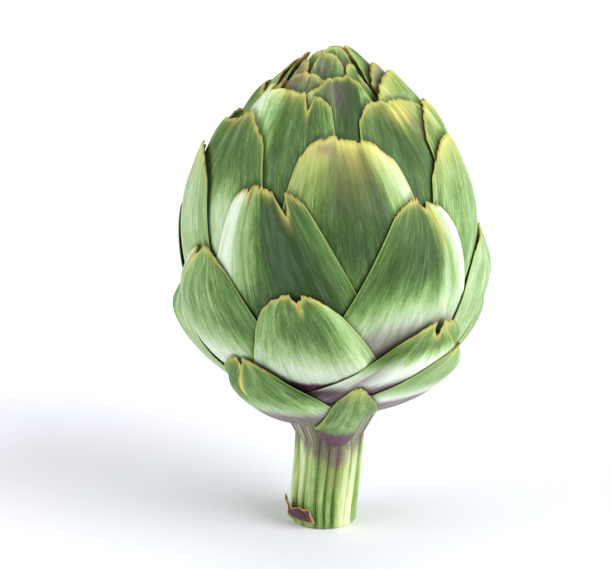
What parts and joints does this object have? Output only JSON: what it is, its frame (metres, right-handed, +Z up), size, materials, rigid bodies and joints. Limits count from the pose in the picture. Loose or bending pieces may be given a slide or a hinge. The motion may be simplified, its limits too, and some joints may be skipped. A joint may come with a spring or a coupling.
{
  "type": "globe artichoke",
  "caption": "Fresh globe artichoke standing upright on its cut stem: a tight egg-shaped bud of overlapping, blunt-tipped bracts over a short thick ribbed stem.",
  "frame": {"origin": "centre of the flat cut face at the foot of the stem", "axes": "+Z up along the stem to the tip of the bud; -Y is the front, where the broad bracts show; +X is to the right when it is seen from the front"},
  "size_m": [0.1024, 0.1035, 0.1575],
  "materials": {
    "bract": "matt green with a pale waxy bloom, yellow and brown at the tips",
    "stem": "satin, pale yellow-green with darker ribs",
    "inner_bud": "satin, pale green",
    "choke": "fibrous, pale straw",
    "stub": "dry, dark purple-brown"
  },
  "bodies": {
    "root": {"stem": "stem", "choke": "choke", "inner_bud": "inner_bud", "bract_01": "bract", "bract_02": "bract", "bract_03": "bract", "bract_04": "bract", "bract_05": "bract", "bract_06": "bract", "bract_07": "bract", "bract_08": "bract", "bract_09": "bract", "bract_10": "bract", "bract_11": "bract", "bract_12": "bract", "bract_13": "bract", "bract_14": "bract", "bract_15": "bract", "bract_16": "bract", "bract_17": "bract", "bract_18": "bract", "bract_19": "bract", "bract_20": "bract", "bract_21": "bract", "bract_22": "bract", "bract_23": "bract", "bract_24": "bract", "bract_25": "bract", "bract_26": "bract", "bract_27": "bract", "bract_28": "bract", "bract_29": "bract", "bract_30": "bract", "bract_31": "bract", "bract_32": "bract", "bract_33": "bract", "bract_34": "bract", "bract_35": "bract", "bract_36": "bract", "bract_37": "bract", "bract_38": "bract", "bract_39": "bract", "bract_40": "bract", "bract_41": "bract", "bract_42": "bract", "bract_43": "bract", "bract_44": "bract", "bract_45": "bract", "bract_46": "bract", "bract_47": "bract", "bract_48": "bract", "bract_49": "bract", "bract_50": "bract", "bract_51": "bract", "bract_52": "bract", "bract_53": "bract", "stem_bract": "bract", "leaf_stub": "stub"}
  },
  "joints": []
}
